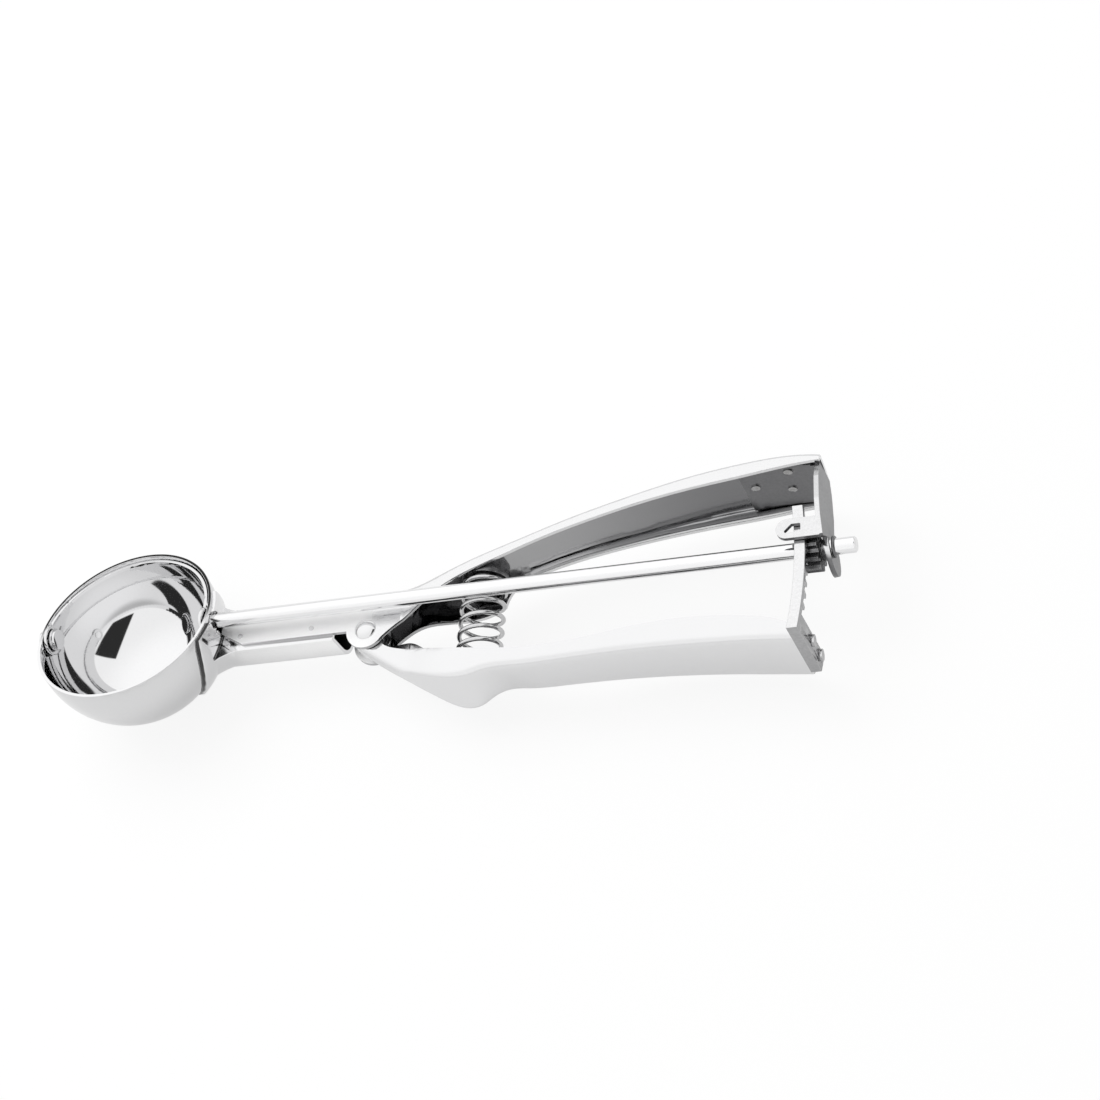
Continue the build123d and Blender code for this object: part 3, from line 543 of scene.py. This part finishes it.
def steel(name, **changes):
    finish = {**mirrorPolish, **changes}
    material = bpy.data.materials.new(name)
    material.use_nodes = True
    tree = material.node_tree
    shader = tree.nodes["Principled BSDF"]
    shader.inputs["Metallic"].default_value = 1.0
    marks = placeGroup(tree, polishMarks, Scratch=finish["scratch"], Smudge=finish["smudge"])
    grain = placeGroup(tree, pressedGrain, Size=finish["grainSize"])
    edge = placeGroup(tree, edgeWearAndSheen, Width=finish["edge"])
    grainTone = mathNode(tree, "MULTIPLY", grain["Tone"], finish["grainTone"])
    markTone = mathNode(tree, "MULTIPLY", marks["Tone"], finish["markTone"])
    tone = mathNode(tree, "ADD", grainTone, markTone, clamp=True)
    colour = mixColour(tree, tone, finish["colour"], finish["dark"])
    grainRough = mathNode(tree, "MULTIPLY", grain["Tone"], finish["grainRough"])
    rough = mathNode(tree, "ADD", marks["Roughness"], finish["rough"])
    rough = mathNode(tree, "ADD", rough, grainRough, clamp=True)
    for zone, zoneColour, zoneRough in finish["zones"]:
        mask = zone(tree)
        paintedZoneColour = mixColour(tree, tone, zoneColour, tuple(finish["zoneDark"] * part for part in zoneColour))
        colour = mixColour(tree, mask, colour, paintedZoneColour)
        rough = mathNode(tree, "ADD", rough, mathNode(tree, "MULTIPLY", mask, zoneRough), clamp=True)
    # painted sheen and wear: edges mixed towards the lighter edge colour
    edgeWearAndSheenShare = mathNode(tree, "MULTIPLY", edge["Mask"], finish["edgeShine"])
    tree.links.new(mixColour(tree, edgeWearAndSheenShare, colour, finish["edgeColour"]), shader.inputs["Base Color"])
    tree.links.new(rough, shader.inputs["Roughness"])
    bump = addNode(tree, "ShaderNodeBump")
    bump.inputs["Strength"].default_value = finish["bump"]
    bump.inputs["Distance"].default_value = finish["bumpDepth"]
    pits = mathNode(tree, "MULTIPLY", grain["Height"], finish["grainBump"])
    tree.links.new(mathNode(tree, "ADD", marks["Height"], pits), bump.inputs["Height"])
    tree.links.new(bump.outputs["Normal"], shader.inputs["Normal"])
    return material


# painted shade on the bowl's outside
bowlSteel = steel("bowlSteel", colour=grey(0.80), zones=(
    # painted dark reflection along the far rim
    (bowlOutside, grey(0.71), 0.0), (rimDarkReflection, grey(0.02, 0.0), 0.1)))
# painted light and shade on the handle: darker channel inside, paler web front, hem and strip
handleSteel = steel("handleSteel", rough=0.14, zones=(
    (handleWebInside, grey(0.22), 0.02), (webFront, grey(0.46), 0.0), (farWallInside, grey(0.50), -0.04),
    (hemInside, grey(0.80), 0.0), (nearWallInside, grey(0.30), 0.08), (behindPivot, grey(0.10, 0.002), -0.02),
    (stripTop, grey(0.94, 0.0), 0.34)))
# painted shade inside the lever's channel
leverSteel = steel("leverSteel", rough=0.12, zones=(
    (leverWebInside, grey(0.34), 0.08), (farWallInside, grey(0.46), 0.06),
    (nearWallInside, grey(0.34), 0.08)))
# painted light and shade on the neck: paler near side, near-black trough and saddle edge
neckSteel = steel("neckSteel", rough=0.06, zones=(
    (neckSideTop, grey(0.97, 0.0), 0.0), (troughInside, grey(0.03, 0.0), 0.3),
    (saddleEdgeShade, grey(0.06, 0.0), 0.1)))
rodSteel = steel("rodSteel", colour=grey(0.87), scratch=0.12, rough=0.07)
bladeSteel = steel("bladeSteel", colour=grey(0.74), scratch=0.08)
rivetSteel = steel("rivetSteel", smudge=0.06)
# painted light: the rack's up-facing faces are painted pale
rackSteel = steel(
    "rackSteel", colour=grey(0.42), dark=grey(0.26), rough=0.16, grainTone=0.3,
    zones=((upFacing, grey(0.78), 0.0),))
# painted light: up-facing faces of the satin parts are painted pale
satinSteel = steel(
    "satinSteel", colour=grey(0.20), dark=grey(0.14), edgeColour=grey(0.5, 0.0), rough=0.30, scratch=0.06,
    grainTone=0.3, grainRough=0.04, bump=0.1, grainBump=0.3, zones=((upFacing, grey(0.76), -0.14),))
gearSteel = steel(
    "gearSteel", colour=grey(0.20), dark=grey(0.10), edgeColour=grey(0.6, 0.0), edgeShine=0.8, rough=0.2,
    scratch=0.2, grainTone=0.5, grainRough=0.08, bump=0.2, grainBump=0.6)
springSteel = steel(
    "springSteel", colour=grey(0.66), dark=grey(0.40, 0.01), rough=0.07, scratch=0.1, grainTone=0.2)
weldSteel = steel(
    "weldSteel", colour=grey(0.42, 0.0), dark=(0.26, 0.25, 0.24), rough=0.18, grainTone=0.5,
    grainBump=0.8, bump=0.2)
stripWeldSteel = steel("stripWeldSteel", rough=0.2, grainTone=0.2)
print("steels made")

nodeFinish = {
    "bowl": bowlSteel, "neck": neckSteel, "main_handle": handleSteel, "lever": leverSteel, "rod": rodSteel,
    "blade": bladeSteel, "pivot_rivet": rivetSteel, "blade_pin": rivetSteel, "rack": rackSteel,
    "rod_collar": gearSteel, "end_bracket": satinSteel, "neck_welds": stripWeldSteel,
    "bracket_welds": weldSteel, "pivot_spacer": satinSteel, "rack_rivets": rackSteel,
    "spring_seat_upper": gearSteel, "spring_seat_lower": gearSteel, "pinion": gearSteel,
    "pinion_pin": gearSteel, "thrust_washer": satinSteel, "blade_washer": bladeSteel, "spring": springSteel,
}
edgeSetup = {"weld": 0.000002, "width": 0.00016, "fine": {"bowl": 0.00004}, "segments": 2, "angle": 38.0}


def finishNode(name, material):
    obj = cadNodes[name]
    for slot in obj.material_slots:
        slot.material = material
    weld = obj.modifiers.new("weld", "WELD")
    weld.merge_threshold = edgeSetup["weld"]
    bevel = obj.modifiers.new("edges", "BEVEL")
    bevel.width = edgeSetup["fine"].get(name, edgeSetup["width"])
    bevel.segments = edgeSetup["segments"]
    bevel.limit_method = "ANGLE"
    bevel.angle_limit = math.radians(edgeSetup["angle"])
    bevel.harden_normals = True


for nodeName, nodeSteel in nodeFinish.items():
    finishNode(nodeName, nodeSteel)
print("solids finished")


# spring: one wire, closed end turns
springSetup = {
    "x": 0.0125, "z": 0.0166, "lowY": -0.017812, "highY": 0.006788, "radius": 0.0054, "wire": 0.0012,
    "endPitch": 0.00175, "openTurns": 5.25, "stepsPerTurn": 48, "sides": 14,
    "easeStep": 0.04, "easeReach": 5, "easeFrom": 0.2,
}


def springLine(setup):
    # points along the middle of the wire, with the change of pitch eased
    span = setup["highY"] - setup["lowY"] - setup["wire"]
    openTurns = setup["openTurns"]
    openPitch = (span - 2 * setup["endPitch"]) / openTurns
    turns = openTurns + 2
    steps = round(turns * setup["stepsPerTurn"])

    def rise(turn):
        first = min(turn, 1) * setup["endPitch"]
        middle = min(max(turn - 1, 0), openTurns) * openPitch
        return first + middle + max(turn - 1 - openTurns, 0) * setup["endPitch"]

    def easedRise(turn):
        if not setup["easeFrom"] < turn < turns - setup["easeFrom"]:
            return rise(turn)
        shifts = range(-setup["easeReach"], setup["easeReach"] + 1)
        near = [min(max(turn + k * setup["easeStep"], 0), turns) for k in shifts]
        return sum(rise(t) for t in near) / len(near)

    points = []
    for i in range(steps + 1):
        turn = turns * i / steps
        angle = turn * 2 * math.pi
        x = setup["x"] + setup["radius"] * math.cos(angle)
        y = setup["lowY"] + setup["wire"] / 2 + easedRise(turn)
        z = setup["z"] - setup["radius"] * math.sin(angle)
        points.append(Vector((x, y, z)))
    return points


def wireMesh(setup, points):
    last = len(points) - 1
    sides = setup["sides"]
    verts = []
    faces = []
    for i, point in enumerate(points):
        run = (points[min(i + 1, last)] - points[max(i - 1, 0)]).normalized()
        out = Vector((point.x - setup["x"], 0, point.z - setup["z"])).normalized()
        across = run.cross(out).normalized()
        for k in range(sides):
            angle = 2 * math.pi * k / sides
            verts.append(point + (out * math.cos(angle) + across * math.sin(angle)) * setup["wire"] / 2)
    for i in range(last):
        for k in range(sides):
            a = i * sides + k
            b = i * sides + (k + 1) % sides
            faces.append((a, b, b + sides, a + sides))
    faces.append(tuple(range(sides - 1, -1, -1)))
    faces.append(tuple(last * sides + k for k in range(sides)))
    mesh = bpy.data.meshes.new("returnSpring")
    mesh.from_pydata(verts, [], faces)
    mesh.validate()
    for polygon in mesh.polygons:
        polygon.use_smooth = len(polygon.vertices) == 4
    return mesh


def windSpring(setup):
    mesh = wireMesh(setup, springLine(setup))
    mesh.materials.append(springSteel)
    spring = bpy.data.objects.new("returnSpring", mesh)
    bpy.context.scene.collection.objects.link(spring)
    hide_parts("spring")
    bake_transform(spring)


windSpring(springSetup)
print("spring wound")
